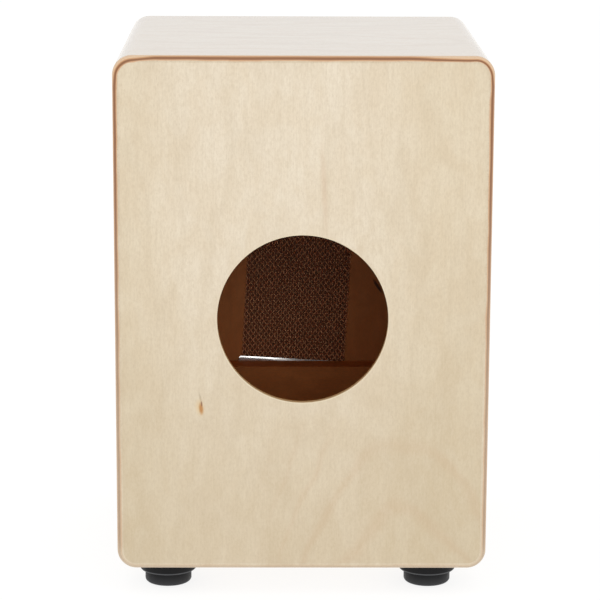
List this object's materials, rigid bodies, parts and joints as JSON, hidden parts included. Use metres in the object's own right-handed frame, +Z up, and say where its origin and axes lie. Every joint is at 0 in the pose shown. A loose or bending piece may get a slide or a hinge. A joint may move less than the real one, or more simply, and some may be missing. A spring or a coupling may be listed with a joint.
{
  "type": "cajon",
  "caption": "Compact box-shaped hand drum: plywood shell, round sound hole in the back, thin playing plate with a snare wire carpet behind it, rubber feet.",
  "frame": {"origin": "on the floor under the middle of the box, with the feet standing at z = 0", "axes": "+Z up; -Y is the playing plate and +Y the back panel with the sound hole; +X is to the right of someone who faces the playing plate"},
  "size_m": [0.29, 0.29, 0.427],
  "materials": {
    "birch_face": "satin clear lacquer on pale birch veneer, fine upright grain",
    "birch_shell": "satin clear lacquer on birch ply, plies shown at the rounded edges",
    "plate_wood": "satin lacquer on thin ply, raw and darker inside",
    "batten_wood": "raw sawn softwood",
    "end_plate_steel": "bright nickel plate",
    "wire_steel": "plain steel wire",
    "zinc_steel": "bright zinc plate",
    "black_rubber": "matt moulded rubber"
  },
  "bodies": {
    "root": {"top_panel": "birch_shell", "bottom_panel": "birch_shell", "left_side_panel": "birch_shell", "right_side_panel": "birch_shell", "back_panel": "birch_face", "front_plate": "plate_wood", "front_batten_left": "batten_wood", "front_batten_right": "batten_wood", "front_batten_top": "batten_wood", "front_batten_bottom": "batten_wood", "snare_crossbar": "batten_wood", "snare_end_plate": "end_plate_steel", "snare_wire_pair_01": "wire_steel", "snare_wire_pair_02": "wire_steel", "snare_wire_pair_03": "wire_steel", "snare_wire_pair_04": "wire_steel", "snare_wire_pair_05": "wire_steel", "snare_wire_pair_06": "wire_steel", "snare_wire_pair_07": "wire_steel", "snare_wire_pair_08": "wire_steel", "snare_wire_pair_09": "wire_steel", "snare_wire_pair_10": "wire_steel", "snare_wire_pair_11": "wire_steel", "snare_wire_pair_12": "wire_steel", "snare_wire_pair_13": "wire_steel", "snare_wire_pair_14": "wire_steel", "snare_wire_pair_15": "wire_steel", "snare_wire_pair_16": "wire_steel", "snare_wire_pair_17": "wire_steel", "snare_wire_pair_18": "wire_steel", "snare_wire_pair_19": "wire_steel", "snare_wire_pair_20": "wire_steel", "snare_screw_1": "zinc_steel", "snare_screw_2": "zinc_steel", "snare_screw_3": "zinc_steel", "plate_screw_01": "zinc_steel", "plate_screw_02": "zinc_steel", "plate_screw_03": "zinc_steel", "plate_screw_04": "zinc_steel", "plate_screw_05": "zinc_steel", "plate_screw_06": "zinc_steel", "plate_screw_07": "zinc_steel", "plate_screw_08": "zinc_steel", "plate_screw_09": "zinc_steel", "plate_screw_10": "zinc_steel", "plate_screw_11": "zinc_steel", "plate_screw_12": "zinc_steel", "foot_front_left": "black_rubber", "foot_front_right": "black_rubber", "foot_rear_left": "black_rubber", "foot_rear_right": "black_rubber", "foot_washer_front_left": "zinc_steel", "foot_washer_front_right": "zinc_steel", "foot_washer_rear_left": "zinc_steel", "foot_washer_rear_right": "zinc_steel", "foot_screw_front_left": "zinc_steel", "foot_screw_front_right": "zinc_steel", "foot_screw_rear_left": "zinc_steel", "foot_screw_rear_right": "zinc_steel"}
  },
  "joints": []
}
